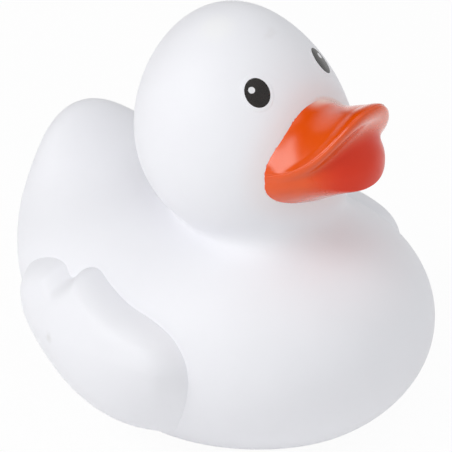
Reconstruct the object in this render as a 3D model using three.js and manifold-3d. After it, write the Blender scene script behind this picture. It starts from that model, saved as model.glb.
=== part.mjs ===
// A squeezable toy duck, moulded in one piece from soft white vinyl.
// It is a hollow skin with a small air hole in its flat base.
// Millimetres, +Z up. The duck faces -Y, X runs across it, and the origin is the middle of the base.

import * as THREE from "three";
import { mergeVertices } from "three/addons/utils/BufferGeometryUtils.js";
import Module from "manifold-3d";

// Wall and air hole
const WALL = 2;
const PAD_SINK = 1;
const VENT_DIAMETER = 4;
const VENT_BACK = 7;

// Chest: the front of the body, an ellipsoid cut flat by the base
const CHEST_HALF_WIDTH = 30.7;
const CHEST_HALF_LENGTH = 31.3;
const CHEST_HALF_HEIGHT = 22.5;
const CHEST_HEIGHT = 18.5;
const CHEST_FORWARD = 2.6;
const BASE_EDGE = 3;

// Rump: the back of the body, an ellipsoid that tilts up towards the tail
const RUMP_HALF_WIDTH = 31.6;
const RUMP_HALF_LENGTH = 32.5;
const RUMP_HALF_HEIGHT = 17.5;
const RUMP_BEHIND_CHEST = 19.4;
const RUMP_ABOVE_CHEST = 1.4;
const RUMP_TILT = 25;
const RUMP_BLEND = 11;

// Tail: a broad paddle that leans back
const TAIL_HALF_WIDTH = 14.4;
const TAIL_HALF_THICKNESS = 7.6;
const TAIL_HALF_HEIGHT = 16.7;
const TAIL_INSET = 12.3;
const TAIL_ABOVE_RUMP = 11.6;
const TAIL_LEAN = 23;
const TAIL_BLEND = 8.3;

// Head: an egg, narrower at the top, that sits in the body
const HEAD_HALF_WIDTH = 19.6;
const HEAD_HALF_LENGTH = 19.6;
const HEAD_HALF_HEIGHT = 21;
const HEAD_SINK = 5.8;
const HEAD_BEHIND_CHEST = 5.3;
const HEAD_TAPER = 0.16;
const HEAD_LEAN = 0.14;
const NECK_BLEND = 3;
const THROAT_BLEND = 8;

// Bill: one skin about a middle inside the head. Its front share runs from 0 at the root to 1 at the tip.
const BILL_INSET = 10.9;
const BILL_ROOT = 6.6;
const BILL_BACK = 7;

// Bill, upper half: a hood that sweeps up to its tip, with a beaded crest and a rolled lip
const UPPER_HALF_WIDTH = 13;
const UPPER_REACH = 19.8;
const UPPER_SQUARENESS = 2.5;
const CROWN_HEIGHT = 8;
const CROWN_SADDLE = 1.5;
const CROWN_EASE = 1.5;
const ROOT_ARCH = 1.62;
const FACE_ARCH = 2.4;
const FACE_FRONT = 0.5;
const CREST_BELOW_HEAD = 1.7;
const CREST_RISE = 4.2;
const CREST_SWEEP = 8.4;
const CREST_POWER = 3.2;
const BEAD_AT_CORNER = 0.15;
const BEAD_AT_TIP = 0.3;
const BEAD_RADIUS = 2;
const BEAD_FILLET = 1.3;
const LIP_TALL_AT_CORNER = 2.6;
const LIP_TALL_AT_TIP = 4.8;
const LIP_BULGE_AT_CORNER = 0.15;
const LIP_BULGE_AT_TIP = 1.4;
const LIP_TUCK = 2.8;

// Bill, mouth: a soft fold under the lip that runs out towards the corners
const MOUTH_SHUT_UNTIL = 0.44;
const MOUTH_OPEN_FROM = 0.7;
const MOUTH_FOLD = 1.6;
const LIP_TURN_AT_CORNER = 81;
const LIP_TURN_AT_TIP = 103;

// Bill, lower half: a round lobe
const LOWER_HALF_WIDTH = 13.4;
const LOWER_REACH = 20.2;
const LOWER_SQUARENESS = 2.25;
const LOWER_BELOW_HEAD = 3.7;
const LOWER_RISE = 3.8;
const LOWER_DROOP = 4.2;
const LOWER_DROOP_POWER = 4;
const LOWER_DEPTH = 15.4;
const LOWER_SLOPE = 0.5;

// Wings: pads in relief on the flanks, thick along the top and thin below and behind, with two feather tips
const WING_RELIEF_AT_TOP = 5.75;
const WING_RELIEF_AT_BOTTOM = 1.8;
const WING_THICK_ABOVE = 2.9;
const WING_THIN_BELOW = -17.8;
const WING_BACK_SHARE = 0.34;
const WING_THINS_FROM = 7;
const WING_THINS_TO = 36;
const WING_EDGE_AT_TOP = 4.5;
const WING_EDGE_AT_BOTTOM = 9;
const WING_TIGHT_ABOVE = 6;
const WING_SOFT_BELOW = -10;
// Points of the outline as (back, up) from the middle of the chest, from the top feather round the front
const WING_OUTLINE = [
  [17.4, 13.4],
  [13.2, 12],
  [7.8, 10.5],
  [1.9, 9.5],
  [-3.2, 7.6],
  [-6.5, 4],
  [-7.1, -0.8],
  [-5.2, -6.6],
  [-1.2, -12.2],
  [5, -15],
  [14, -14.4],
  [23, -10.6],
  [30.4, -5.8],
  [34, -2],
  [34.6, 3],
  [34.2, 7.4],
  [32.2, 10.6],
  [28.8, 12.4],
  [25, 12.6],
  [21.8, 11.2],
  [20, 13],
];
const WING_MIDDLE = [16, -1];

// Eyes: low ovals that carry the paint
const EYE_FORWARD = 10.5;
const EYE_ABOVE_HEAD = 11.5;
const EYE_HALF_WIDTH = 2.7;
const EYE_HALF_HEIGHT = 3.3;
const EYE_RELIEF = 0.25;
const EYE_TURN = 12;

// Mesh counts
const SKIN_COLUMNS = 66;
const BODY_ROWS = 32;
const NECK_ROWS = 6;
const HEAD_ROWS = 14;
const CAVITY_COLUMNS = 32;
const CAVITY_SHARE = 0.5;
const BILL_COLUMNS = 40;
const TOP_ROWS = 7;
const LIP_ROWS = 4;
const MOUTH_ROWS = 5;
const LOWER_ROWS = 6;
const WING_COLUMNS = 66;
const EYE_COLUMNS = 20;
const PAD_TOP_SHARES = [0, 0.3, 0.58, 0.78, 0.9, 0.97, 1];
const PAD_UNDER_SHARES = [1, 0.5, 0];
const RIM_SAMPLES = 4;
const VENT_COLUMNS = 24;
const MERGE_DISTANCE = 1e-4;
const SLOPE_STEP = 0.01;
const BELLY_BACK_SHARE = 0.75;
const BELLY_HEIGHT_SHARE = 0.65;
const TAIL_ROOT_AHEAD = 4;
const TAIL_ROOT_BELOW = 6;
const ARC_RAYS = 60;
const SETTLE_STEPS = 3;
const HALVINGS = 24;
const RING_WIDTH_SHARE = 1.05;
const RING_LENGTH_SHARE = 1.15;

const VINYL_WHITE = 0xf1f1f3;

const radians = THREE.MathUtils.degToRad;
const { clamp, lerp, smoothstep } = THREE.MathUtils;
const shareBetween = (value, low, high) => clamp((value - low) / (high - low), 0, 1);

// Centres, worked out from the dimensions
const chest = new THREE.Vector3(0, -CHEST_FORWARD, CHEST_HEIGHT);
const rump = new THREE.Vector3(0, RUMP_BEHIND_CHEST, RUMP_ABOVE_CHEST).add(chest);
const tail = new THREE.Vector3(0, RUMP_HALF_LENGTH - TAIL_INSET, TAIL_ABOVE_RUMP).add(rump);
const head = new THREE.Vector3(
  0,
  HEAD_BEHIND_CHEST,
  CHEST_HALF_HEIGHT + HEAD_HALF_HEIGHT - HEAD_SINK,
).add(chest);
const billMiddle = new THREE.Vector3(0, BILL_INSET - HEAD_HALF_LENGTH, 0).add(head);

// Fields: each gives about the distance to a surface, negative inside it.

// Distance to an ellipsoid about the origin.
function ellipsoid(x, y, z, a, b, c) {
  const reach = Math.hypot(x / a, y / b, z / c);
  const slope = Math.hypot(x / a ** 2, y / b ** 2, z / c ** 2);
  return slope > 0 ? ((reach - 1) * reach) / slope : -Math.min(a, b, c);
}

// Distance to an ellipsoid that is turned about X, its back end up, and centred on a point.
function tiltedEllipsoid(p, centre, a, b, c, degrees) {
  const cos = Math.cos(radians(degrees));
  const sin = Math.sin(radians(degrees));
  const y = p.y - centre.y;
  const z = p.z - centre.z;
  return ellipsoid(p.x, y * cos + z * sin, z * cos - y * sin, a, b, c);
}

// The nearer of two distances, with the corner between them filled over a width.
function smoothUnion(a, b, width) {
  const share = clamp(0.5 + (b - a) / (2 * width), 0, 1);
  return lerp(b, a, share) - width * share * (1 - share);
}

// Chest, rump and tail blended together, cut flat at z = 0 with a rounded edge.
function bodyField(p) {
  const front = tiltedEllipsoid(p, chest, CHEST_HALF_WIDTH, CHEST_HALF_LENGTH, CHEST_HALF_HEIGHT, 0);
  const back = tiltedEllipsoid(p, rump, RUMP_HALF_WIDTH, RUMP_HALF_LENGTH, RUMP_HALF_HEIGHT, RUMP_TILT);
  const paddle = tiltedEllipsoid(
    p, tail, TAIL_HALF_WIDTH, TAIL_HALF_THICKNESS, TAIL_HALF_HEIGHT, -TAIL_LEAN,
  );
  const whole = smoothUnion(smoothUnion(front, back, RUMP_BLEND), paddle, TAIL_BLEND);
  return -smoothUnion(-whole, p.z, BASE_EDGE);
}

// The egg of the head: an ellipsoid that narrows upwards and leans back.
function headField(p) {
  const z = p.z - head.z;
  const width = 1 - (HEAD_TAPER * z) / HEAD_HALF_HEIGHT;
  const y = p.y - head.y - HEAD_LEAN * z;
  return ellipsoid(p.x / width, y / width, z, HEAD_HALF_WIDTH, HEAD_HALF_LENGTH, HEAD_HALF_HEIGHT);
}

// The whole skin: the neck is a tight crease at the sides and back, and a soft throat in front.
function skinField(p) {
  const forward = smoothstep(head.y - p.y, 0, HEAD_HALF_LENGTH);
  const width = lerp(NECK_BLEND, THROAT_BLEND, forward);
  return smoothUnion(bodyField(p), headField(p), width);
}

// Walks out along a ray from inside until the field passes a level, then halves the step to settle there.
function surfacePoint(field, start, direction, level = 0) {
  const p = new THREE.Vector3();
  const at = (distance) => p.copy(start).addScaledVector(direction, distance);
  let distance = 0;
  let step = WALL / 2;
  while (field(at(distance + step)) < level) distance += step;
  for (let halving = 0; halving < HALVINGS; halving++) {
    step /= 2;
    if (field(at(distance + step)) < level) distance += step;
  }
  return at(distance).clone();
}

// A closed surface over a grid: the first and last rows are single points, and the columns run round.
function closedGrid(rows, columns, point) {
  const corners = [point(0, 0)];
  for (let row = 1; row < rows; row++) {
    for (let column = 0; column < columns; column++) corners.push(point(row, column));
  }
  corners.push(point(rows, 0));
  const last = corners.length - 1;
  const id = (row, column) => {
    if (row === 0) return 0;
    if (row === rows) return last;
    return 1 + (row - 1) * columns + (column % columns);
  };
  const faces = [];
  for (let row = 0; row < rows; row++) {
    for (let column = 0; column < columns; column++) {
      const [a, b] = [id(row, column), id(row, column + 1)];
      const [c, d] = [id(row + 1, column), id(row + 1, column + 1)];
      if (row > 0) faces.push(a, b, d);
      if (row < rows - 1) faces.push(a, d, c);
    }
  }
  return new THREE.BufferGeometry().setFromPoints(corners).setIndex(faces);
}

// The direction part of the way round from one unit direction to another.
function sweep(from, to, share) {
  const turn = new THREE.Quaternion().setFromUnitVectors(from, to);
  return from.clone().applyQuaternion(new THREE.Quaternion().slerp(turn, share));
}

// The direction in which a field grows fastest at a point of its surface.
function outwardNormal(field, p) {
  const reach = WALL / 20;
  const slope = (x, y, z) => {
    const step = new THREE.Vector3(x, y, z).multiplyScalar(reach);
    return field(p.clone().add(step)) - field(p.clone().sub(step));
  };
  return new THREE.Vector3(slope(1, 0, 0), slope(0, 1, 0), slope(0, 0, 1)).normalize();
}

// A point moved onto a level of a field, in a few steps along the field's slope.
function settled(field, p, level) {
  for (let step = 0; step < SETTLE_STEPS; step++) {
    p.addScaledVector(outwardNormal(field, p), level - field(p));
  }
  return p;
}

// A line through many points cut into equal lengths.
function evenly(points, count) {
  const runs = [0];
  for (let index = 1; index < points.length; index++) {
    runs.push(runs[index - 1] + points[index].distanceTo(points[index - 1]));
  }
  const total = runs[runs.length - 1];
  return Array.from({ length: count + 1 }, (_, part) => {
    const wanted = (total * part) / count;
    const next = clamp(runs.findIndex((run) => run > wanted), 1, points.length - 1);
    const after = part < count ? next : points.length - 1;
    const share = (wanted - runs[after - 1]) / (runs[after] - runs[after - 1]);
    return points[after - 1].clone().lerp(points[after], share);
  });
}

// The skin as a grid of rays, or with a negative level the hollow inside it.
// The body's rays fan from points between the belly and the root of the tail, from the middle of the base
// outwards and then up, and the head's rays fan from its middle. The two fans meet on a ring that lies in the
// crease of the neck, just outside the skin, and the neck's rays all aim at that ring. They start along a
// curve that bends well inside the neck.
function blownSkin(bodyRows, neckRows, headRows, columns, level) {
  const belly = chest.clone().lerp(rump, BELLY_BACK_SHARE);
  belly.z *= BELLY_HEIGHT_SHARE;
  const tailRoot = new THREE.Vector3(0, -TAIL_ROOT_AHEAD, -TAIL_ROOT_BELOW).add(tail);
  const floor = new THREE.Vector3(0, VENT_BACK, -level);
  const up = new THREE.Vector3(0, 0, 1);
  const chin = chest.clone().add(head).multiplyScalar(0.5);
  const fans = Array.from({ length: columns }, (_, column) => {
    const angle = (2 * Math.PI * column) / columns;
    const around = new THREE.Vector3(Math.sin(angle), -Math.cos(angle), 0);
    const ring = new THREE.Vector3(
      RING_WIDTH_SHARE * HEAD_HALF_WIDTH * around.x,
      head.y + RING_LENGTH_SHARE * HEAD_HALF_LENGTH * around.y,
      chest.z + CHEST_HALF_HEIGHT + WALL * (1 + around.y),
    );
    const start = belly.clone().lerp(tailRoot, smoothstep(around.y, 0, 1));
    const under = floor.clone().sub(start).normalize();
    const over = ring.clone().sub(start).normalize();
    const rays = Array.from({ length: 2 * ARC_RAYS + 1 }, (_, ray) => {
      const share = ray / ARC_RAYS;
      const direction = share < 1 ? sweep(under, around, share) : sweep(around, over, share - 1);
      return surfacePoint(skinField, start, direction, level);
    });
    const spine = new THREE.QuadraticBezierCurve3(start, chin, head);
    return { ring, spine, body: evenly(rays, bodyRows) };
  });
  return closedGrid(bodyRows + neckRows + headRows, columns, (row, column) => {
    const { ring, spine, body } = fans[column];
    if (row < bodyRows) return settled(skinField, body[row], level);
    const from = spine.getPoint(Math.min((row - bodyRows) / neckRows, 1));
    const direction = ring.clone().sub(from).normalize();
    const headShare = Math.max(row - bodyRows - neckRows, 0) / headRows;
    return surfacePoint(skinField, from, sweep(direction, up, headShare), level);
  });
}

// The outline of the bill from above: a superellipse about its middle, cut short at the back.
function planRadius(sin, cos, halfWidth, reach, squareness) {
  const across = Math.abs(sin / halfWidth) ** squareness;
  const along = Math.abs(cos / (cos > 0 ? reach : BILL_BACK)) ** squareness;
  return (across + along) ** (-1 / squareness);
}

// The bill as one closed skin. Each column is a section from the middle out over the top to the crest, round
// the lip, over a fold and down the lower half to its bottom. The fold is a cubic that leaves along the lip
// and arrives along the lower half. At the corners of the mouth it is shut, and the lip runs straight on.
function billSkin() {
  const ahead = (distance, reach) => shareBetween(distance, BILL_ROOT, reach);
  const tipHeight = CREST_RISE + CREST_SWEEP - CREST_BELOW_HEAD;

  // The section in one direction, as functions of the share run along each stretch that give [out, height].
  const section = (sin, cos) => {
    const upper = planRadius(sin, cos, UPPER_HALF_WIDTH, UPPER_REACH, UPPER_SQUARENESS);
    const lower = planRadius(sin, cos, LOWER_HALF_WIDTH, LOWER_REACH, LOWER_SQUARENESS);
    const front = ahead(upper * cos, UPPER_REACH);
    const opened = smoothstep(front, MOUTH_SHUT_UNTIL, MOUTH_OPEN_FROM);
    const crest = CREST_RISE * front + CREST_SWEEP * front ** CREST_POWER - CREST_BELOW_HEAD;

    const top = (part) => {
      const share = Math.sin((Math.PI / 2) * part);
      const here = ahead(share * upper * cos, UPPER_REACH);
      const crown = lerp(CROWN_HEIGHT, tipHeight, here ** CROWN_EASE) - 4 * CROWN_SADDLE * here * (1 - here);
      const rounded = Math.max(1 - share ** ROOT_ARCH, 0) ** (1 / ROOT_ARCH);
      const shape = lerp(rounded, 1 - share ** FACE_ARCH, smoothstep(front, 0, FACE_FRONT));
      const face = lerp(crest - lerp(BEAD_AT_CORNER, BEAD_AT_TIP, front), crown, shape);
      const bead = crest - (upper * (1 - share)) ** 2 / (2 * BEAD_RADIUS);
      return [share * upper, -smoothUnion(-face, -bead, BEAD_FILLET)];
    };

    const lip = (part) => {
      const turn = part * radians(lerp(LIP_TURN_AT_CORNER, LIP_TURN_AT_TIP, opened));
      const fall = (1 - Math.cos(turn)) / 2;
      const bulge = lerp(LIP_BULGE_AT_CORNER, LIP_BULGE_AT_TIP, front);
      const tall = lerp(LIP_TALL_AT_CORNER, LIP_TALL_AT_TIP, front ** 2);
      return [upper + bulge * Math.sin(turn) - LIP_TUCK * front * fall, crest - tall * fall];
    };

    const low = (part) => {
      const lowFront = ahead(lower * cos, LOWER_REACH);
      const rim = LOWER_RISE * lowFront - LOWER_DROOP * lowFront ** LOWER_DROOP_POWER - LOWER_BELOW_HEAD;
      const turn = (Math.PI / 2) * part;
      const out = lower * Math.cos(turn);
      return [out, lerp(rim, LOWER_SLOPE * out * cos - LOWER_DEPTH, Math.sin(turn))];
    };

    const mouth = (part) => {
      const start = new THREE.Vector2(...lip(1));
      const end = new THREE.Vector2(...low(0));
      const reach = (MOUTH_FOLD / 3) * start.distanceTo(end);
      const leave = start.clone().sub(new THREE.Vector2(...lip(1 - SLOPE_STEP))).setLength(reach);
      const arrive = new THREE.Vector2(...low(SLOPE_STEP)).sub(end).setLength(reach);
      const fold = new THREE.CubicBezierCurve(start, start.clone().add(leave), end.clone().sub(arrive), end);
      return fold.getPoint(part).toArray();
    };

    return { top, lip, mouth, low };
  };

  const lipStart = TOP_ROWS;
  const mouthStart = lipStart + LIP_ROWS;
  const lowStart = mouthStart + MOUTH_ROWS + 1;
  return closedGrid(lowStart + LOWER_ROWS, BILL_COLUMNS, (row, column) => {
    const angle = (2 * Math.PI * column) / BILL_COLUMNS;
    const [sin, cos] = [Math.sin(angle), Math.cos(angle)];
    const { top, lip, mouth, low } = section(sin, cos);
    let place = top(row / TOP_ROWS);
    if (row > lipStart) place = lip((row - lipStart) / LIP_ROWS);
    if (row > mouthStart) place = mouth((row - mouthStart) / (MOUTH_ROWS + 1));
    if (row >= lowStart) place = low((row - lowStart) / LOWER_ROWS);
    const [out, height] = place;
    return new THREE.Vector3(out * sin, -out * cos, height).add(billMiddle);
  });
}

// A pad in relief on the skin. Its outline is drawn on a plane and carried along the plane's outward axis
// onto the skin. The top swells to the full relief over a width from the nearest stretch of outline,
// and the underside is sunk in the wall.
function skinPad({ field, origin, along, up, out, outline, middle, relief, edge, columns }) {
  const shares = [...PAD_TOP_SHARES, ...PAD_UNDER_SHARES];
  const samples = RIM_SAMPLES * columns;
  const rims = Array.from({ length: samples }, (_, index) => outline(index / samples));
  return closedGrid(shares.length - 1, columns, (row, column) => {
    const rim = rims[RIM_SAMPLES * (column % columns)];
    const flat = middle.clone().lerp(rim, shares[row]);
    const start = origin.clone().addScaledVector(along, flat.x).addScaledVector(up, flat.y);
    const p = surfacePoint(field, start, out);
    const width = edge(flat);
    const inside = Math.min(...rims.map((other) => other.distanceTo(flat)), width) / width;
    const swell = relief(flat) * (1 - (1 - inside) ** 2);
    return p.addScaledVector(outwardNormal(field, p), row < PAD_TOP_SHARES.length ? swell : -PAD_SINK);
  });
}

// The wing on the duck's left, drawn in side view from the middle of the chest.
function leftWing() {
  const place = ([back, above]) => new THREE.Vector3(back, above, 0);
  const outline = new THREE.CatmullRomCurve3(WING_OUTLINE.map(place), true, "catmullrom");
  return skinPad({
    field: bodyField,
    origin: chest,
    along: new THREE.Vector3(0, 1, 0),
    up: new THREE.Vector3(0, 0, 1),
    out: new THREE.Vector3(1, 0, 0),
    outline: (share) => outline.getPoint(share),
    middle: place(WING_MIDDLE),
    relief: (flat) => {
      const height = shareBetween(flat.y, WING_THIN_BELOW, WING_THICK_ABOVE);
      const thinning = smoothstep(flat.x, WING_THINS_FROM, WING_THINS_TO);
      return lerp(WING_RELIEF_AT_BOTTOM, WING_RELIEF_AT_TOP, height) * lerp(1, WING_BACK_SHARE, thinning);
    },
    edge: (flat) => {
      const height = shareBetween(flat.y, WING_SOFT_BELOW, WING_TIGHT_ABOVE);
      return lerp(WING_EDGE_AT_BOTTOM, WING_EDGE_AT_TOP, height);
    },
    columns: WING_COLUMNS,
  });
}

// The oval under the duck's left eye, drawn on the plane that touches the head there.
function leftEye() {
  const inside = head.clone().add(new THREE.Vector3(0, -EYE_FORWARD, EYE_ABOVE_HEAD));
  const onHead = surfacePoint(headField, inside, new THREE.Vector3(1, 0, 0));
  const out = outwardNormal(headField, onHead);
  const along = new THREE.Vector3(0, 0, 1).cross(out).normalize();
  return skinPad({
    field: headField,
    origin: onHead.addScaledVector(out, -2 * WALL),
    along,
    up: out.clone().cross(along),
    out,
    outline: (share) => {
      const angle = 2 * Math.PI * share;
      const oval = new THREE.Vector3(EYE_HALF_WIDTH * Math.cos(angle), EYE_HALF_HEIGHT * Math.sin(angle), 0);
      return oval.applyAxisAngle(new THREE.Vector3(0, 0, 1), -radians(EYE_TURN));
    },
    middle: new THREE.Vector3(),
    relief: () => EYE_RELIEF,
    edge: () => EYE_RELIEF,
    columns: EYE_COLUMNS,
  });
}

// The air hole, a round pin that passes through the base's wall.
function ventPin() {
  const length = 3 * WALL;
  const geometry = new THREE.CylinderGeometry(VENT_DIAMETER / 2, VENT_DIAMETER / 2, length, VENT_COLUMNS);
  return geometry.rotateX(Math.PI / 2).translate(0, VENT_BACK, WALL / 2);
}

// Solids: closed surfaces joined and cut.

const wasm = await Module();
wasm.setup();

// A geometry as a solid. Its corners are merged first, and a surface that came out inside out is reversed.
function solid(geometry) {
  const bare = new THREE.BufferGeometry();
  bare.setAttribute("position", geometry.getAttribute("position")).setIndex(geometry.index);
  const merged = mergeVertices(bare, MERGE_DISTANCE);
  const mesh = (triVerts) =>
    new wasm.Manifold(
      new wasm.Mesh({ numProp: 3, vertProperties: merged.getAttribute("position").array, triVerts }),
    );
  const faces = new Uint32Array(merged.index.array);
  const made = mesh(faces);
  return made.volume() > 0 ? made : mesh(faces.reverse());
}

// A piece and its mirror image on the other side of the duck, as one solid.
function bothSides(geometry) {
  return solid(geometry).add(solid(geometry.clone().scale(-1, 1, 1)));
}

const skin = solid(blownSkin(BODY_ROWS, NECK_ROWS, HEAD_ROWS, SKIN_COLUMNS, 0));
const hollow = solid(
  blownSkin(
    BODY_ROWS * CAVITY_SHARE, NECK_ROWS * CAVITY_SHARE, HEAD_ROWS * CAVITY_SHARE, CAVITY_COLUMNS, -WALL,
  ),
);
const relief = bothSides(leftWing()).add(bothSides(leftEye()));
const outside = skin.add(relief).add(solid(billSkin()));
const moulding = outside.subtract(hollow).subtract(solid(ventPin())).getMesh();

const geometry = new THREE.BufferGeometry();
geometry.setAttribute("position", new THREE.BufferAttribute(moulding.vertProperties, moulding.numProp));
geometry.setIndex(new THREE.BufferAttribute(moulding.triVerts, 1));
geometry.computeVertexNormals();

const duck = new THREE.Mesh(
  geometry,
  new THREE.MeshStandardMaterial({ color: VINYL_WHITE, roughness: 0.45, metalness: 0 }),
);
duck.name = "duck";

const group = new THREE.Group();
group.add(duck);

export default group;
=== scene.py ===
# A squeezable toy duck moulded in soft white vinyl, with a painted bill and painted eyes.
# Lengths are in millimetres until a mesh is made. The duck faces -Y, X runs across it, and +Z is up.
# The origin is the middle of the flat base.

import bpy
import numpy as np
from mathutils import Matrix


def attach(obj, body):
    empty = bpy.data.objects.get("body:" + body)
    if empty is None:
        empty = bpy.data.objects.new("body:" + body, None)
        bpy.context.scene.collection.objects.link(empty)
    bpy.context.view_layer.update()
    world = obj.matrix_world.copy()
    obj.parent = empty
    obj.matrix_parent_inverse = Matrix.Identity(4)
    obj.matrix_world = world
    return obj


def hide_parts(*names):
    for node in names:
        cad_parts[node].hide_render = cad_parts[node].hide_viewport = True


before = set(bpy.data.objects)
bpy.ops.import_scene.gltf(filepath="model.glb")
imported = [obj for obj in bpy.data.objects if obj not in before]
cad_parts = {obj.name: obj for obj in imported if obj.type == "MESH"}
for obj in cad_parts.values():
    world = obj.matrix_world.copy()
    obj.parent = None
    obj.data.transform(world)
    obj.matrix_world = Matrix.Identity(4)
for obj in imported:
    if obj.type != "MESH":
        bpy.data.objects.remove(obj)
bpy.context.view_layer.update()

MM = 0.001

# Camera: where it looks, from which side, how far away, and its focal length in pixels
IMAGE_SIZE = 452
VIEW_TARGET = (-2.09, 5.0, 34.57)
VIEW_AZIMUTH = -49.76
VIEW_ELEVATION = 27.71
VIEW_DISTANCE = 600.0
FOCAL_PIXELS = 3300.0
SENSOR_WIDTH = 36.0

# Body: chest, rump and tail, each an ellipsoid given by its middle, half sizes and tilt
CHEST = np.array([0.0, -2.6, 18.5])
CHEST_HALF = (30.7, 31.3, 22.5)
RUMP = CHEST + [0.0, 19.4, 1.4]
RUMP_HALF = (31.6, 32.5, 17.5)
RUMP_TILT = 25.0
RUMP_BLEND = 11.0
TAIL = RUMP + [0.0, 20.2, 11.6]
TAIL_HALF = (14.4, 7.6, 16.7)
TAIL_TILT = -23.0
TAIL_BLEND = 8.3
BASE_EDGE = 3.0

# Head: an egg that narrows upwards and leans back
HEAD = CHEST + [0.0, 5.3, 37.7]
HEAD_HALF = (19.6, 19.6, 21.0)
HEAD_TAPER = 0.16
HEAD_LEAN = 0.14
NECK_BLEND = 1.5
THROAT_BLEND = 8.0

# Air hole in the base
VENT = np.array([0.0, 7.0, 0.0])
VENT_RADIUS = 2.0
VENT_DEPTH = 7.0
VENT_ROUNDING = 0.4

# Bill: one skin about a middle inside the head. Its front share runs from 0 at the root to 1 at the tip.
BILL = HEAD + [0.0, -8.7, 0.0]
BILL_ROOT = 6.6
BILL_BACK = 7.0
UPPER_HALF_WIDTH = 13.0
UPPER_REACH = 19.8
UPPER_SQUARENESS = 2.5
CROWN_HEIGHT = 8.0
CROWN_SADDLE = 1.5
CROWN_EASE = 1.5
ROOT_ARCH = 1.62
FACE_ARCH = 2.4
FACE_FRONT = 0.5
CREST_HEIGHT = -1.7
CREST_RISE = 4.2
CREST_SWEEP = 8.4
CREST_POWER = 3.2
BEAD_HEIGHT = (0.15, 0.3)
BEAD_RADIUS = 2.0
BEAD_FILLET = 1.3
LIP_TALL = (2.6, 4.8)
LIP_BULGE = (0.15, 1.4)
LIP_TUCK = 2.8
LIP_TURN = (0.45, 0.57)
MOUTH_OPENS = (0.44, 0.7)
MOUTH_FOLD = 1.6
# Painted shade under the lip: from which front share, and over how much of the fold and of the lower half
MOUTH_SHADE_FRONT = (0.5, 0.95)
MOUTH_SHADE_ABOVE = 0.4
MOUTH_SHADE_BELOW = 0.6
LOWER_HALF_WIDTH = 13.4
LOWER_REACH = 20.2
LOWER_SQUARENESS = 2.25
LOWER_HEIGHT = -3.7
LOWER_RISE = 3.8
LOWER_DROOP = 4.2
LOWER_BOTTOM = -15.4
LOWER_SLOPE = 0.5

# Wings: pads in relief, their outline as (back, up) from the middle of the chest
WING_RELIEF = (1.8, 5.75)
WING_RELIEF_HEIGHTS = (-17.8, 2.9)
WING_BACK_SHARE = 0.34
WING_BACK_FADE = (7.0, 36.0)
WING_EDGE = (9.0, 4.5)
WING_EDGE_HEIGHTS = (-10.0, 6.0)
WING_FRONT_SHARE = 0.25
WING_FRONT_EDGE = 4.5
WING_FRONT_FADE = (-8.0, 8.0)
WING_FRONT_HEIGHTS = (-6.0, 6.0)
WING_MIDDLE = (16.0, -1.0)
WING_GROOVE = ((22.0, 11.2), (22.8, 6.6))
WING_GROOVE_WIDTH = 1.0
WING_GROOVE_DEPTH = 0.14
WING_OUTLINE = (
    (17.4, 13.4),
    (13.2, 12.0),
    (7.8, 10.5),
    (1.9, 9.5),
    (-3.2, 7.6),
    (-6.5, 4.0),
    (-7.1, -0.8),
    (-5.2, -6.6),
    (-1.2, -12.2),
    (5.0, -15.0),
    (14.0, -14.4),
    (23.0, -10.6),
    (30.4, -5.8),
    (34.0, -2.0),
    (34.6, 3.0),
    (34.2, 7.4),
    (32.2, 10.6),
    (28.8, 12.4),
    (25.0, 12.6),
    (21.8, 11.2),
    (20.0, 13.0),
)
PAD_SINK = 1.0

# Eyes: a print on a low oval pad, with a white dot
EYE_FORWARD = 10.5
EYE_ABOVE_HEAD = 11.5
EYE_TURN = -12.0
EYE_PAD_HALF = (2.9, 3.5)
EYE_PAD = 0.07
EYE_PAD_EDGE = 0.5
EYE_HALF = (2.25, 2.7)
EYE_FILM = 0.04
GLINT_PLACE = (0.95, 0.55)
GLINT_HALF = (0.6, 0.6)
GLINT_FILM = 0.03

# Painted light: a dent's painted shade on the right wing, and on the crown a painted highlight and a dent's
# painted shade
WING_SHADE_SPOT = (-36.0, 18.0, 21.3)
CROWN_HIGHLIGHT_SPOT = (-5.8, 3.9, 75.8)
CROWN_SHADE_SPOT = (0.2, -2.7, 74.7)

# Colours: vinyl, with painted shade and a painted highlight on it, the bill's paint, with a red of painted
# shade, the eyes' prints, the room and the floor
VINYL_DARK = (0.91, 0.91, 0.945, 1.0)
VINYL_PALE = (0.94, 0.94, 0.975, 1.0)
WING_SHADE_GREY = (0.72, 0.71, 0.7, 1.0)
HIGHLIGHT_WHITE = (0.97, 0.97, 0.975, 1.0)
CROWN_SHADE_GREY = (0.8, 0.78, 0.79, 1.0)
MIST_PINK = (0.9, 0.45, 0.33, 1.0)
FRINGE_ORANGE = (0.84, 0.1, 0.005, 1.0)
ORANGE_DARK = (0.8, 0.075, 0.0, 1.0)
ORANGE_PALE = (0.86, 0.1, 0.001, 1.0)
THIN_PINK = (0.92, 0.62, 0.53, 1.0)
# Painted shade: the deeper red under the bill's lip
MOUTH_SHADE_RED = (0.8, 0.045, 0.014, 1.0)
BLACK_DARK = (0.004, 0.003, 0.002, 1.0)
BLACK_PALE = (0.018, 0.012, 0.01, 1.0)
DOT_DARK = (0.82, 0.82, 0.84, 1.0)
DOT_PALE = (0.88, 0.88, 0.9, 1.0)
ROOM_WHITE = (0.98, 0.99, 1.0, 1.0)
FLOOR_WHITE = (0.95, 0.95, 0.95, 1.0)
PURE_WHITE = (1.0, 1.0, 1.0, 1.0)

# Light: how strong the room is, and the dim corner in it as azimuth and elevation, with its edge as cosines.
# Each soft box has a name, azimuth, elevation, width, height and watts.
ROOM_LIGHT = 0.68
DIM_LIGHT = 0.0
DIM_CORNER = (-170.0, 37.0)
DIM_EDGE = (0.4, 0.85)
SOFT_BOX_DISTANCE = 900.0
SOFT_BOXES = (
    ("soft_box_left", -118.0, 40.0, 480.0, 520.0, 3.4),
    ("soft_box_behind", -152.0, 8.0, 700.0, 240.0, 0.7),
    ("soft_box_above", -60.0, 84.0, 700.0, 700.0, 1.2),
)

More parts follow.
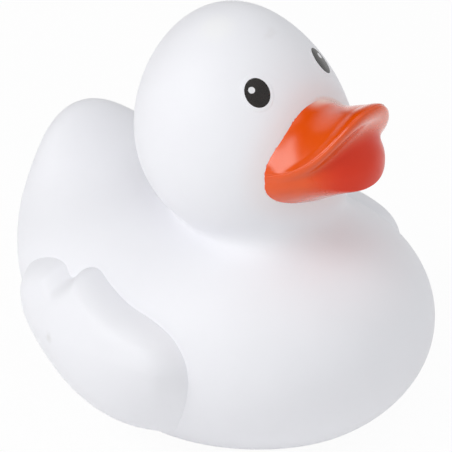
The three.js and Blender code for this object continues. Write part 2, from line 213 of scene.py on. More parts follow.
# Paint: how far the bill's colour fades out over the skin beside it, and where across the duck and above the
# head's middle it thins out
LINE_WIDTH = 0.12
HALO_REACH = 6.0
THIN_ACROSS = (-2.5, 2.5)
THIN_ABOVE_HEAD = (2.0, 5.0)

# Floor: half its width, how far it lies under the base, so that the two faces don't coincide, and how much of
# what the camera sees of it is plain white
FLOOR_HALF = 3000.0
FLOOR_GAP = 0.05
FLOOR_GLOW = 0.95

# Grids: counts of rows and columns, and where the skin's rays start
SKIN_COLUMNS = 300
BODY_RAYS = 400
BODY_ROWS = 170
NECK_ROWS = 34
HEAD_ROWS = 100
VENT_ROWS = 6
VENT_LINED_FROM = 1.0
BILL_COLUMNS = 288
BILL_TOP_ROWS = 72
LIP_ROWS = 32
FOLD_ROWS = 48
LOWER_ROWS = 72
WING_COLUMNS = 440
EYE_COLUMNS = 128
EYE_RAY_DEPTH = 3.0
PAD_INNER_SHARE = 0.7
PAD_INNER_ROWS = 15
PAD_OUTER_ROWS = 31
PAD_CROWDING = 0.7
BELLY_BACK_SHARE = 0.75
BELLY_HEIGHT_SHARE = 0.65
TAIL_ROOT = (0.0, -4.0, -6.0)
RING_WIDTH_SHARE = 1.05
RING_LENGTH_SHARE = 1.15
RING_RISE = 2.0
CHIN_SHARE = 0.5
STRIDE = 2.0
STRIDES = 40
HALVINGS = 20
SETTLE_STEPS = 3
CHUNKS = 40


def lerp(a, b, share):
    """The value part of the way from a to b."""
    return a + (b - a) * share


def ramp(low, high, value):
    """A smooth step: 0 below low, 1 above high, and 3t^2 - 2t^3 between."""
    t = np.clip((value - low) / (high - low), 0.0, 1.0)
    return t * t * (3.0 - 2.0 * t)


def unit(vectors):
    """Vectors scaled to length 1."""
    return vectors / np.linalg.norm(vectors, axis=-1, keepdims=True)


def ellipsoid(x, y, z, half):
    """About the distance to an ellipsoid at the origin: reach (reach - 1) / slope, negative inside."""
    a, b, c = half
    reach = np.sqrt((x / a) ** 2 + (y / b) ** 2 + (z / c) ** 2)
    slope = np.sqrt((x / a**2) ** 2 + (y / b**2) ** 2 + (z / c**2) ** 2)
    return (reach - 1.0) * reach / np.maximum(slope, 1e-9)


def tilted_ellipsoid(p, middle, half, degrees=0.0):
    """The distance to an ellipsoid turned about X, its back end up, and centred on a point."""
    cos = np.cos(np.radians(degrees))
    sin = np.sin(np.radians(degrees))
    y = p[..., 1] - middle[1]
    z = p[..., 2] - middle[2]
    return ellipsoid(p[..., 0], y * cos + z * sin, z * cos - y * sin, half)


def smooth_union(a, b, width):
    """The nearer of two distances, with the corner between them filled over a width."""
    share = np.clip(0.5 + (b - a) / (2.0 * width), 0.0, 1.0)
    return lerp(b, a, share) - width * share * (1.0 - share)


def body_field(p):
    """Distance to chest, rump and tail blended together and cut flat at z = 0 with a rounded edge."""
    front = tilted_ellipsoid(p, CHEST, CHEST_HALF)
    back = tilted_ellipsoid(p, RUMP, RUMP_HALF, RUMP_TILT)
    paddle = tilted_ellipsoid(p, TAIL, TAIL_HALF, TAIL_TILT)
    whole = smooth_union(smooth_union(front, back, RUMP_BLEND), paddle, TAIL_BLEND)
    return -smooth_union(-whole, p[..., 2], BASE_EDGE)


def head_field(p):
    """Distance to the egg of the head: an ellipsoid that narrows upwards and leans back."""
    z = p[..., 2] - HEAD[2]
    width = 1.0 - HEAD_TAPER * z / HEAD_HALF[2]
    y = p[..., 1] - HEAD[1] - HEAD_LEAN * z
    return ellipsoid(p[..., 0] / width, y / width, z, HEAD_HALF)


def skin_field(p):
    """Distance to the whole skin: a tight crease at the sides and back of the neck, and a soft throat
    in front."""
    forward = ramp(0.0, HEAD_HALF[1], HEAD[1] - p[..., 1])
    return smooth_union(body_field(p), head_field(p), lerp(NECK_BLEND, THROAT_BLEND, forward))


def on_surface(field, start, direction):
    """Where rays from inside leave a surface: each steps out until its field is positive, then halves
    the step until it settles there."""
    distance = np.zeros(direction.shape[:-1])
    step = STRIDE
    for _ in range(STRIDES):
        inside = field(start + direction * (distance + step)[..., None]) < 0.0
        distance += step * inside
        if not inside.any():
            break
    for _ in range(HALVINGS):
        step /= 2.0
        inside = field(start + direction * (distance + step)[..., None]) < 0.0
        distance += step * inside
    return start + direction * distance[..., None]


def outward(field, p, reach=0.05):
    """Unit normals: the direction in which a field grows fastest, from differences along X, Y and Z."""
    steps = reach * np.eye(3)
    return unit(np.stack([field(p + step) - field(p - step) for step in steps], -1))


def turn_between(a, b, share):
    """Unit vectors part of the way round the arc from a to b: (a sin((1-s)w) + b sin(sw)) / sin(w)."""
    angle = np.arccos(np.clip((a * b).sum(-1, keepdims=True), -1.0, 1.0))
    return (a * np.sin((1.0 - share) * angle) + b * np.sin(share * angle)) / np.sin(angle)


def closed_spline(points, shares):
    """A closed curve through points: the uniform Catmull-Rom cubic of the four points about each share."""
    points = np.asarray(points, float)
    count = len(points)
    place = shares * count
    index = np.floor(place).astype(int)
    t = (place - index)[:, None]
    before, here, after, beyond = (points[(index + k) % count] for k in (-1, 0, 1, 2))
    return 0.5 * (
        2.0 * here
        + (after - before) * t
        + (2.0 * before - 5.0 * here + 4.0 * after - beyond) * t**2
        + (3.0 * here - before - 3.0 * after + beyond) * t**3
    )


def evenly(rows, count):
    """Rows spaced evenly along each column of a grid: the distance run down a column is cut into
    equal parts."""
    run = np.zeros(rows.shape[:2])
    run[1:] = np.cumsum(np.linalg.norm(np.diff(rows, axis=0), axis=-1), axis=0)
    wanted = np.linspace(0.0, 1.0, count)[:, None] * run[-1]
    index = (run[None] <= wanted[:, None]).sum(1) - 1
    index = np.minimum(index, len(rows) - 2)
    start = np.take_along_axis(run, index, 0)
    share = (wanted - start) / (np.take_along_axis(run, index + 1, 0) - start)
    here, there = (np.take_along_axis(rows, at[..., None], 0) for at in (index, index + 1))
    return lerp(here, there, share[..., None])


def settled(field, p):
    """Points moved onto a surface: three steps against the field's slope by the field's value."""
    for _ in range(SETTLE_STEPS):
        p = p - outward(field, p) * field(p)[..., None]
    return p


def blown_skin():
    """The skin as a grid of rays. The body's rays fan from points between the belly and the root of the tail,
    from the base outwards and up, and the head's fan from the head's middle. The two fans meet on a ring just
    outside the crease of the neck. The neck's rays all aim at that ring, and start along a curve that bends
    well inside the neck. The first rows line the air hole in the base. The last row closes on the crown."""
    angle = 2.0 * np.pi * np.arange(SKIN_COLUMNS) / SKIN_COLUMNS
    around = np.stack([np.sin(angle), -np.cos(angle), 0.0 * angle], -1)
    ring = np.stack(
        [
            RING_WIDTH_SHARE * HEAD_HALF[0] * around[:, 0],
            HEAD[1] + RING_LENGTH_SHARE * HEAD_HALF[1] * around[:, 1],
            CHEST[2] + CHEST_HALF[2] + RING_RISE * (1.0 + around[:, 1]),
        ],
        -1,
    )
    belly = lerp(CHEST, RUMP, BELLY_BACK_SHARE) * [1.0, 1.0, BELLY_HEIGHT_SHARE]
    start = lerp(belly, TAIL + TAIL_ROOT, ramp(0.0, 1.0, around[:, 1:2]))
    begin = unit(VENT + around * (VENT_RADIUS + 2.0 * VENT_ROUNDING) - start)
    share = np.linspace(0.0, 1.0, BODY_RAYS)[:, None, None]
    under = turn_between(begin[None], around[None], share)
    over = turn_between(around[None], unit(ring - start)[None], share[1:])
    body = on_surface(skin_field, start, np.concatenate([under, over]))
    body = settled(skin_field, evenly(body, BODY_ROWS))
    share = np.linspace(0.0, 1.0, NECK_ROWS + 1)[1:, None, None]
    chin = lerp(CHEST, HEAD, CHIN_SHARE)
    start = lerp(lerp(start, chin, share), lerp(chin, HEAD, share), share)
    neck = on_surface(skin_field, start, unit(ring - start))
    share = np.linspace(0.0, 1.0, HEAD_ROWS + 1)[1:-1, None, None]
    up = np.array([0.0, 0.0, 1.0])
    head = on_surface(skin_field, HEAD, turn_between(unit(ring - HEAD)[None], up, share))
    crown = on_surface(skin_field, HEAD, up)
    roll = np.linspace(0.0, np.pi / 2.0, VENT_ROWS)[:, None, None]
    radius = VENT_RADIUS + VENT_ROUNDING * (1.0 - np.cos(roll))
    mouth = VENT + around * radius + up * VENT_ROUNDING * (1.0 - np.sin(roll))
    depth = np.linspace(VENT_DEPTH, VENT_LINED_FROM, VENT_ROWS)[:, None, None]
    bore = VENT + around * VENT_RADIUS + up * depth
    rows = np.concatenate([bore, mouth, body, neck, head])
    return rows, VENT + up * VENT_DEPTH, crown


def grid_mesh(name, rows, first, last, marks=None):
    """A closed mesh over a grid of points whose columns run round: quads between neighbouring rows, and a
    fan to a single point before the first row and after the last. Marks are named values, one for each
    point of the grid."""
    count, columns = rows.shape[:2]
    corners = np.concatenate([[first], rows.reshape(-1, 3), [last]])
    index = 1 + np.arange(count * columns).reshape(count, columns)
    beside = np.roll(index, -1, axis=1)
    quads = np.stack([index[:-1], beside[:-1], beside[1:], index[1:]], -1).reshape(-1, 4)
    begin = np.stack([np.zeros(columns, int), beside[0], index[0]], -1)
    end = np.stack([np.full(columns, len(corners) - 1), index[-1], beside[-1]], -1)
    triangles = np.concatenate([quads[:, [0, 1, 2]], quads[:, [0, 2, 3]], begin, end])
    a, b, c = corners[triangles.T]
    volume = np.einsum("ij,ij->", a, np.cross(b, c))
    faces = quads.tolist() + begin.tolist() + end.tolist()
    mesh = bpy.data.meshes.new(name)
    mesh.from_pydata((corners * MM).tolist(), [], faces)
    if volume < 0.0:
        mesh.flip_normals()
    for mark, values in (marks or {}).items():
        whole = np.concatenate([values[0, :1], values.ravel(), values[-1, :1]])
        mesh.attributes.new(mark, "FLOAT", "POINT").data.foreach_set("value", whole)
    mesh.shade_smooth()
    mesh.validate()
    return mesh


def piece(name, mesh, material):
    """An object at the origin that rides on the duck and stands for its solid."""
    mesh.materials.append(material)
    made = bpy.data.objects.new(name, mesh)
    bpy.context.scene.collection.objects.link(made)
    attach(made, "root")
    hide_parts("duck")


def pad_rows(field, origin, along, up, out, rims, middle, heights, depth):
    """A pad on the skin: points between a middle and an outline on a plane are carried along the plane's
    outward axis onto the skin and raised by a height that depends on the distance to the outline.
    The rows run from the middle to the outline and back underneath at a depth below the skin."""
    inner = np.linspace(0.0, PAD_INNER_SHARE, PAD_INNER_ROWS + 1)[1:]
    outer = np.linspace(0.0, 1.0, PAD_OUTER_ROWS + 1)[1:] ** PAD_CROWDING
    share = np.concatenate([inner, lerp(PAD_INNER_SHARE, 1.0, outer)])
    flat = lerp(np.asarray(middle), rims[None], share[:, None, None])
    gap = np.full(flat.shape[:2], np.inf)
    for near in np.array_split(rims, CHUNKS):
        gap = np.minimum(gap, np.linalg.norm(flat[:, :, None] - near, axis=-1).min(-1))
    gap[-1] = 0.0
    start = origin + flat[..., :1] * along + flat[..., 1:] * up
    skin = on_surface(field, start, np.broadcast_to(out, start.shape))
    normal = outward(field, skin)
    top = skin + normal * heights(gap, flat)[..., None]
    under = (skin - normal * depth)[::-4]
    centre = on_surface(field, origin + middle[0] * along + middle[1] * up, out)
    lift = outward(field, centre)
    tall = heights(np.linalg.norm(rims - middle, axis=-1).min(), np.asarray(middle))
    return np.concatenate([top, under]), centre + lift * tall, centre - lift * depth


def mirrored(rows, first, last):
    """The same points on the other side of the duck, X reversed."""
    flip = np.array([-1.0, 1.0, 1.0])
    return rows * flip, first * flip, last * flip


def pair(name, left, material):
    """A piece on each side of the duck: the right one mirrors the left one."""
    piece(name + "_left", grid_mesh(name + "_left", *left), material)
    piece(name + "_right", grid_mesh(name + "_right", *mirrored(*left)), material)


def wing_rows():
    """The wing on the duck's left: a pad whose height rises from its outline as a parabola. It is thick
    along its upper edge, thin behind, below and low at the front, and grooved between its two feathers."""
    rims = closed_spline(WING_OUTLINE, np.linspace(0.0, 1.0, WING_COLUMNS + 1)[:-1])
    groove_top, groove_end = np.array(WING_GROOVE)
    groove = groove_end - groove_top

    def swell(gap, flat):
        back = flat[..., 0]
        up = flat[..., 1]
        relief = np.interp(up, WING_RELIEF_HEIGHTS, WING_RELIEF)
        relief = relief * lerp(1.0, WING_BACK_SHARE, ramp(*WING_BACK_FADE, back))
        low_front = (1.0 - ramp(*WING_FRONT_FADE, back)) * (1.0 - ramp(*WING_FRONT_HEIGHTS, up))
        relief = relief * lerp(1.0, WING_FRONT_SHARE, low_front)
        down = np.clip(((flat - groove_top) @ groove) / (groove @ groove), 0.0, 1.0)
        beside = np.linalg.norm(flat - groove_top - down[..., None] * groove, axis=-1)
        carve = WING_GROOVE_DEPTH * (1.0 - down) * np.exp(-((beside / WING_GROOVE_WIDTH) ** 2))
        edge = lerp(np.interp(up, WING_EDGE_HEIGHTS, WING_EDGE), WING_FRONT_EDGE, low_front)
        rise = np.minimum(gap / edge, 1.0)
        return relief * (1.0 - (1.0 - rise) ** 2) * (1.0 - carve)

    along, up, out = np.array([[0.0, 1.0, 0.0], [0.0, 0.0, 1.0], [1.0, 0.0, 0.0]])
    return pad_rows(body_field, CHEST, along, up, out, rims, WING_MIDDLE, swell, PAD_SINK)


def eye_frame():
    """Where the left eye sits on the head, as a point and the axes forward, up and out of the skin."""
    inside = HEAD + [0.0, -EYE_FORWARD, EYE_ABOVE_HEAD]
    spot = on_surface(head_field, inside, np.array([1.0, 0.0, 0.0]))
    out = outward(head_field, spot)
    side = unit(np.cross([0.0, 0.0, 1.0], out))
    return spot - EYE_RAY_DEPTH * out, side, np.cross(out, side), out


def oval_rows(half, centre, base, thickness, edge):
    """A thin oval on the head, on top of a base height, that rises over an edge as a quarter ellipse."""
    angle = np.linspace(0.0, 2.0 * np.pi, EYE_COLUMNS + 1)[:-1]
    turn = np.radians(EYE_TURN)
    oval = np.stack([half[0] * np.cos(angle), half[1] * np.sin(angle)], -1)
    rims = np.asarray(centre) + oval @ [[np.cos(turn), np.sin(turn)], [-np.sin(turn), np.cos(turn)]]

    def swell(gap, flat):
        return base + thickness * np.sqrt(1.0 - (1.0 - np.minimum(gap / edge, 1.0)) ** 2)

    spot, side, up, out = eye_frame()
    return pad_rows(head_field, spot, side, up, out, rims, np.asarray(centre), swell, thickness)


def cubic(start, end, leave, arrive, share):
    """A curve between two points that leaves and arrives along given steps: the Hermite cubic."""
    back = 1.0 - share
    first = (1.0 + 2.0 * share) * start + share * leave
    second = (1.0 + 2.0 * back) * end - back * arrive
    return back**2 * first + share**2 * second


def plan_radius(sin, cos, half_width, reach, squareness):
    """The outline of the bill from above: a superellipse about its middle, cut short at the back."""
    ends = np.where(cos > 0.0, reach, BILL_BACK)
    across = np.abs(sin / half_width) ** squareness
    along = np.abs(cos / ends) ** squareness
    return (across + along) ** (-1.0 / squareness)


def bill_rows():
    """The bill as one skin. Each column is a section from the middle out over the top to the crest, round
    the lip, over a fold and down the lower half to its bottom. The fold is a cubic that leaves along the
    lip and arrives along the lower half. At the corners of the mouth it is shut, and the lip runs on."""
    angle = (2.0 * np.pi * np.arange(BILL_COLUMNS) / BILL_COLUMNS)[None]
    sin = np.sin(angle)
    cos = np.cos(angle)
    upper = plan_radius(sin, cos, UPPER_HALF_WIDTH, UPPER_REACH, UPPER_SQUARENESS)
    lower = plan_radius(sin, cos, LOWER_HALF_WIDTH, LOWER_REACH, LOWER_SQUARENESS)

    def ahead(distance, reach):
        return np.clip((distance - BILL_ROOT) / (reach - BILL_ROOT), 0.0, 1.0)

    front = ahead(upper * cos, UPPER_REACH)
    opened = ramp(*MOUTH_OPENS, front)
    crest = CREST_HEIGHT + CREST_RISE * front + CREST_SWEEP * front**CREST_POWER
    share = np.sin(np.linspace(0.0, np.pi / 2.0, BILL_TOP_ROWS + 1)[1:, None])
    top_out = share * upper
    here = ahead(top_out * cos, UPPER_REACH)
    tip = CREST_HEIGHT + CREST_RISE + CREST_SWEEP
    crown = lerp(CROWN_HEIGHT, tip, here**CROWN_EASE) - 4.0 * CROWN_SADDLE * here * (1.0 - here)
    rounded = np.maximum(1.0 - share**ROOT_ARCH, 0.0) ** (1.0 / ROOT_ARCH)
    shape = lerp(rounded, 1.0 - share**FACE_ARCH, ramp(0.0, FACE_FRONT, front))
    face = lerp(crest - lerp(*BEAD_HEIGHT, front), crown, shape)
    bead = crest - (upper - top_out) ** 2 / (2.0 * BEAD_RADIUS)
    top_height = -smooth_union(-face, -bead, BEAD_FILLET)

    half_tall = lerp(*LIP_TALL, front**2) / 2.0
    bulge = lerp(*LIP_BULGE, front)
    turn = np.linspace(0.0, np.pi, LIP_ROWS + 1)[1:, None] * lerp(*LIP_TURN, opened)
    lip_out = upper + bulge * np.sin(turn) - LIP_TUCK * front * (1.0 - np.cos(turn)) / 2.0
    lip_height = crest - half_tall * (1.0 - np.cos(turn))

    low_front = ahead(lower * cos, LOWER_REACH)
    turn = np.linspace(0.0, np.pi / 2.0, LOWER_ROWS + 1)[:-1, None]
    low_out = lower * np.cos(turn)
    bottom = LOWER_BOTTOM + LOWER_SLOPE * low_out * cos
    rim = LOWER_HEIGHT + LOWER_RISE * low_front - LOWER_DROOP * low_front**4
    low_height = lerp(rim, bottom, np.sin(turn))

    share = np.linspace(0.0, 1.0, FOLD_ROWS + 2)[1:-1, None]
    lip = np.stack([lip_out, lip_height], -1)
    low = np.stack([low_out, low_height], -1)
    length = MOUTH_FOLD * np.linalg.norm(low[0] - lip[-1], axis=-1)[:, None]
    leave = unit(lip[-1] - lip[-2]) * length
    arrive = unit(low[1] - low[0]) * length
    fold = cubic(lip[-1], low[0], leave, arrive, share[..., None])

    out = np.concatenate([top_out, lip_out, fold[..., 0], low_out])
    height = np.concatenate([top_height, lip_height, fold[..., 1], low_height])
    rows = BILL + np.stack([out * sin, -out * cos, height], -1)
    # The inside mark is painted shade: it deepens the paint to red in the fold under the lip and the top of
    # the lower half, towards the front.
    inside = np.zeros(out.shape)
    shaded = np.concatenate([ramp(0.0, MOUTH_SHADE_ABOVE, share), 1.0 - ramp(0.0, MOUTH_SHADE_BELOW, turn)])
    inside[BILL_TOP_ROWS + LIP_ROWS :] = shaded * ramp(*MOUTH_SHADE_FRONT, front)
    return rows, BILL + [0.0, 0.0, CROWN_HEIGHT], BILL + [0.0, 0.0, LOWER_BOTTOM], inside


def gap_to_bill(skin, bill):
    """The distance from points of the skin to the line where the bill leaves it, up to a limit. That line
    is taken as the bill's points that lie close to the skin's surface."""
    line = bill[np.abs(skin_field(bill)) < LINE_WIDTH]
    gap = np.full(skin.shape[:2], HALO_REACH)
    near = np.linalg.norm(skin - BILL, axis=-1) < UPPER_REACH + HALO_REACH
    flat = skin[near]
    best = np.full(len(flat), HALO_REACH)
    for part in np.array_split(line, CHUNKS):
        best = np.minimum(best, np.linalg.norm(flat[:, None] - part, axis=-1).min(-1))
    gap[near] = best
    return gap


class Wire:
    """An output of a shader node. Arithmetic on it adds Math nodes, and make() adds any other node."""

    def __init__(self, tree, socket=None):
        self.tree = tree
        self.socket = socket

    def make(self, kind, settings, inputs, output=0):
        """Adds a node, sets its settings, sets or links its inputs by name or identifier, and returns an
        output of it."""
        node = self.tree.nodes.new(kind)
        for key, value in settings.items():
            setattr(node, key, value)
        for key, value in inputs.items():
            found = [s for s in node.inputs if s.identifier == key]
            target = found[0] if found else node.inputs[key]
            if isinstance(value, Wire):
                self.tree.links.new(value.socket, target)
            else:
                target.default_value = value
        if not node.outputs:
            return None
        found = [s for s in node.outputs if s.identifier == output]
        return Wire(self.tree, found[0] if found else node.outputs[output])

    def math(self, operation, a, b):
        """A Math node of two values."""
        return self.make("ShaderNodeMath", {"operation": operation}, {"Value": a, "Value_001": b})

    def __add__(self, other):
        return self.math("ADD", self, other)

    __radd__ = __add__

    def __sub__(self, other):
        return self.math("SUBTRACT", self, other)

    def __rsub__(self, other):
        return self.math("SUBTRACT", other, self)

    def __mul__(self, other):
        return self.math("MULTIPLY", self, other)

    __rmul__ = __mul__

    def mix(self, a, b):
        """A colour between a and b, with this value as the share."""
        return self.make(
            "ShaderNodeMix",
            {"data_type": "RGBA"},
            {"Factor_Float": self, "A_Color": a, "B_Color": b},
            "Result_Color",
        )

    def between(self, low, high, to_low=0.0, to_high=1.0):
        """This value mapped smoothly from one range to another."""
        return self.make(
            "ShaderNodeMapRange",
            {"interpolation_type": "SMOOTHSTEP"},
            {"Value": self, "From Min": low, "From Max": high, "To Min": to_low, "To Max": to_high},
        )

    def noise(self, scale, detail=2.0):
        """Noise over the object's own coordinates, with a scale in cycles per metre."""
        place = self.make("ShaderNodeTexCoord", {}, {}, "Object")
        inputs = {"Vector": place, "Scale": scale, "Detail": detail}
        return self.make("ShaderNodeTexNoise", {}, inputs, "Fac")

    def mark(self, name):
        """A named value of the mesh."""
        return self.make("ShaderNodeAttribute", {"attribute_name": name}, {}, "Fac")

    def gap(self, spot):
        """The distance in millimetres to a spot given in millimetres."""
        place = self.make("ShaderNodeTexCoord", {}, {}, "Object")
        inputs = {"Vector": place, "Vector_001": tuple(np.asarray(spot) * MM)}
        return self.make("ShaderNodeVectorMath", {"operation": "DISTANCE"}, inputs, "Value") * (1.0 / MM)

    def along(self, axis):
        """A coordinate in millimetres along X, Y or Z."""
        place = self.make("ShaderNodeTexCoord", {}, {}, "Object")
        return self.make("ShaderNodeSeparateXYZ", {}, {"Vector": place}, axis) * (1.0 / MM)

    def bump(self, height, strength, distance):
        """A normal bent by a height."""
        inputs = {"Height": height, "Strength": strength, "Distance": distance}
        return self.make("ShaderNodeBump", {}, inputs, "Normal")


def finish(name, shader_inputs):
    """A material with one Principled shader, whose inputs come from a function of the material's tree."""
    material = bpy.data.materials.new(name)
    material.use_nodes = True
    tree = material.node_tree
    tree.nodes.clear()
    start = Wire(tree)
    shader = start.make("ShaderNodeBsdfPrincipled", {}, shader_inputs(start), "BSDF")
    start.make("ShaderNodeOutputMaterial", {}, {"Surface": shader})
    return material


def plain_vinyl(start):
    """Satin white vinyl: faint cloudy tone, a slightly uneven sheen, a fine matt grain and a dent's painted
    shade.
    """
    cloud = start.noise(90.0, 3.0)
    grain = start.noise(2600.0, 2.0)
    # Painted shade: a grey patch on the right wing where a small dent is shaded.
    wing_shade = start.gap(WING_SHADE_SPOT).between(0.2, 1.6, 0.42, 0.0) * start.noise(900.0).between(0.3, 0.6)
    return {
        "Base Color": wing_shade.mix(cloud.mix(VINYL_DARK, VINYL_PALE), WING_SHADE_GREY),
        "Roughness": cloud.between(0.3, 0.7, 0.45, 0.53),
        "Normal": start.bump(grain, 0.06, 0.0002),
        "Specular IOR Level": 0.3,
    }


def far_top(start):
    """1 over the left half of the top of the bill's root, where the paint thins out, and 0 elsewhere."""
    above_head = start.along("Z") - HEAD[2]
    return start.along("X").between(*THIN_ACROSS) * above_head.between(*THIN_ABOVE_HEAD)


def skin_vinyl(start):
    """The same vinyl with the bill's paint on it: a ragged fringe at the bill, and a pink mist that fades
    out, denser where the paint is thin. On the crown lie a painted highlight (a pale spot) and a dent's
    painted shade (a grey smear)."""
    inputs = plain_vinyl(start)
    gap = start.mark("gap_to_bill")
    rough = start.noise(700.0, 3.0)
    thin = far_top(start)
    mist = gap.between(0.0, 0.8, 0.45, 0.0) * thin + gap.between(0.0, HALO_REACH, 0.1, 0.0)
    fringe = (gap - rough * 0.45).between(-0.22, -0.08, 1.0, 0.0) * (1.0 - thin)
    # Painted highlight: a pale spot on the crown where an overhead lamp reflects.
    spot = start.gap(CROWN_HIGHLIGHT_SPOT).between(1.0, 4.5, 0.7, 0.0)
    # Painted shade: a patchy grey smear on the crown where a shallow dent is shaded.
    patches = start.noise(400.0, 2.0).between(0.45, 0.65, 0.0, 0.25)
    crown_shade = start.gap(CROWN_SHADE_SPOT).between(0.6, 3.0, 1.0, 0.0) * patches
    colour = spot.mix(inputs["Base Color"], HIGHLIGHT_WHITE)
    colour = crown_shade.mix(colour, CROWN_SHADE_GREY)
    colour = mist.mix(colour, MIST_PINK)
    inputs["Base Color"] = fringe.mix(colour, FRINGE_ORANGE)
    return inputs


def orange_paint(start):
    """Gloss orange paint: slight streaks of tone, and a film with gentle waves that break up reflections.
    Under the lip it is duller and a deeper red of painted shade, and at the root over the top it thins out to
    pale pink."""
    cloud = start.noise(160.0, 2.0)
    wave = start.noise(420.0, 3.0)
    # inside is painted shade under the lip, where the paint turns a deeper red and duller
    inside = start.mark("inside")
    thin = start.mark("off_skin").between(0.0, 2.4, 1.0, 0.0) * far_top(start)
    colour = thin.mix(cloud.mix(ORANGE_DARK, ORANGE_PALE), THIN_PINK)
    return {
        "Base Color": inside.mix(colour, MOUTH_SHADE_RED),
        "Roughness": wave.between(0.3, 0.7, 0.16, 0.26) + inside * 0.12,
        "Normal": start.bump(wave, 0.06, 0.0004),
        "Specular IOR Level": 0.2,
        "Coat Weight": 0.85 - inside * 0.7,
        "Coat Roughness": 0.24,
    }


def black_paint(start):
    """Black print, slightly mottled, with a soft sheen."""
    speck = start.noise(1500.0, 2.0)
    return {
        "Base Color": speck.mix(BLACK_DARK, BLACK_PALE),
        "Roughness": speck.between(0.3, 0.7, 0.22, 0.34),
        "Specular IOR Level": 0.5,
    }


def white_paint(start):
    """White print."""
    speck = start.noise(1500.0, 2.0)
    return {
        "Base Color": speck.mix(DOT_DARK, DOT_PALE),
        "Roughness": 0.4,
    }


vinyl = finish("plain_vinyl", plain_vinyl)
painted = finish("skin_vinyl", skin_vinyl)
orange = finish("orange_paint", orange_paint)
black = finish("black_paint", black_paint)
dot = finish("white_paint", white_paint)

bill, bill_top, bill_bottom, inside = bill_rows()
# inside marks painted shade under the lip; off_skin is the distance to the head's skin
bill_marks = {"inside": inside, "off_skin": skin_field(bill)}
piece("bill", grid_mesh("bill", bill, bill_top, bill_bottom, bill_marks), orange)
skin, vent_end, crown = blown_skin()
paint_gap = {"gap_to_bill": gap_to_bill(skin, bill)}
piece("skin", grid_mesh("skin", skin, vent_end, crown, paint_gap), painted)
eye_pad = oval_rows(EYE_PAD_HALF, (0.0, 0.0), 0.0, EYE_PAD, EYE_PAD_EDGE)
eye = oval_rows(EYE_HALF, (0.0, 0.0), EYE_PAD, EYE_FILM, EYE_FILM)
glint = oval_rows(GLINT_HALF, GLINT_PLACE, EYE_PAD + EYE_FILM, GLINT_FILM, GLINT_FILM)
pair("wing", wing_rows(), vinyl)
pair("eye_pad", eye_pad, vinyl)
pair("eye", eye, black)
pair("glint", glint, dot)


def floor_sheet():
    """A large pale square just under the duck's base. It keeps the duck's shadow and reads white to the
    camera and in reflections."""
    half = FLOOR_HALF * MM
    mesh = bpy.data.meshes.new("floor")
    low = -FLOOR_GAP * MM
    corners = [(-half, -half, low), (half, -half, low), (half, half, low), (-half, half, low)]
    mesh.from_pydata(corners, [], [(0, 1, 2, 3)])
    material = bpy.data.materials.new("floor_white")
    material.use_nodes = True
    tree = material.node_tree
    tree.nodes.clear()
    start = Wire(tree)
    camera_ray = start.make("ShaderNodeLightPath", {}, {}, "Is Camera Ray")
    glossy_ray = start.make("ShaderNodeLightPath", {}, {}, "Is Glossy Ray")
    clear_ray = start.make("ShaderNodeLightPath", {}, {}, "Is Transmission Ray")
    seen = camera_ray + glossy_ray + clear_ray
    plain = start.make("ShaderNodeBsdfDiffuse", {}, {"Color": FLOOR_WHITE}, "BSDF")
    glow = start.make("ShaderNodeEmission", {}, {"Color": PURE_WHITE, "Strength": 1.0}, "Emission")
    shaders = {"Fac": seen * FLOOR_GLOW, "Shader": plain, "Shader_001": glow}
    both = start.make("ShaderNodeMixShader", {}, shaders)
    start.make("ShaderNodeOutputMaterial", {}, {"Surface": both})
    mesh.materials.append(material)
    sheet = bpy.data.objects.new("floor", mesh)
    bpy.context.scene.collection.objects.link(sheet)


def view_axes(azimuth, elevation):
    """The way a camera looks, its right and its up, for an azimuth of 0 looking along +Y."""
    turn = np.radians(azimuth)
    lift = np.radians(elevation)
    ahead = np.array([-np.sin(turn) * np.cos(lift), np.cos(turn) * np.cos(lift), -np.sin(lift)])
    right = unit(np.cross(ahead, [0.0, 0.0, 1.0]))
    return ahead, right, np.cross(right, ahead)


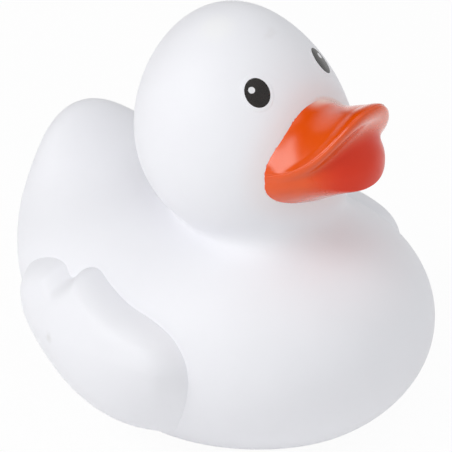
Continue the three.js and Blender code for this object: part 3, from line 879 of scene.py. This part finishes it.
def aimed(place, ahead, right, up):
    """The matrix of a lamp or camera at a place in millimetres that looks along -Z."""
    turn = np.eye(4)
    turn[:3, :3] = np.stack([right, up, -ahead], -1)
    turn[:3, 3] = np.asarray(place) * MM
    return Matrix(turn.tolist())


def soft_box(name, azimuth, elevation, width, height, watts):
    """An area lamp that faces the duck's middle from a side and height."""
    lamp = bpy.data.lights.new(name, "AREA")
    lamp.shape = "RECTANGLE"
    lamp.size = width * MM
    lamp.size_y = height * MM
    lamp.energy = watts
    made = bpy.data.objects.new(name, lamp)
    bpy.context.scene.collection.objects.link(made)
    ahead, right, up = view_axes(azimuth, elevation)
    made.matrix_world = aimed(np.array(VIEW_TARGET) - SOFT_BOX_DISTANCE * ahead, ahead, right, up)


def studio_world():
    """A pale room with a dim corner behind the duck: the strength falls smoothly towards one direction."""
    made = bpy.data.worlds.new("studio")
    made.use_nodes = True
    tree = made.node_tree
    tree.nodes.clear()
    start = Wire(tree)
    way = start.make("ShaderNodeTexCoord", {}, {}, "Generated")
    corner = tuple(-view_axes(*DIM_CORNER)[0])
    inputs = {"Vector": way, "Vector_001": corner}
    facing = start.make("ShaderNodeVectorMath", {"operation": "DOT_PRODUCT"}, inputs, "Value")
    strength = facing.between(*DIM_EDGE, ROOM_LIGHT, DIM_LIGHT)
    glow = start.make("ShaderNodeBackground", {}, {"Color": ROOM_WHITE, "Strength": strength}, "Background")
    start.make("ShaderNodeOutputWorld", {}, {"Surface": glow})
    bpy.context.scene.world = made


floor_sheet()
studio_world()
for box in SOFT_BOXES:
    soft_box(*box)

camera_data = bpy.data.cameras.new("camera")
camera_data.sensor_width = SENSOR_WIDTH
camera_data.lens = SENSOR_WIDTH * FOCAL_PIXELS / IMAGE_SIZE
camera_data.clip_start = 0.01
camera_data.clip_end = 20.0
camera = bpy.data.objects.new("camera", camera_data)
bpy.context.scene.collection.objects.link(camera)
ahead, right, up = view_axes(VIEW_AZIMUTH, VIEW_ELEVATION)
camera.matrix_world = aimed(np.array(VIEW_TARGET) - VIEW_DISTANCE * ahead, ahead, right, up)
bpy.context.scene.camera = camera
bpy.context.scene.view_settings.view_transform = "Standard"
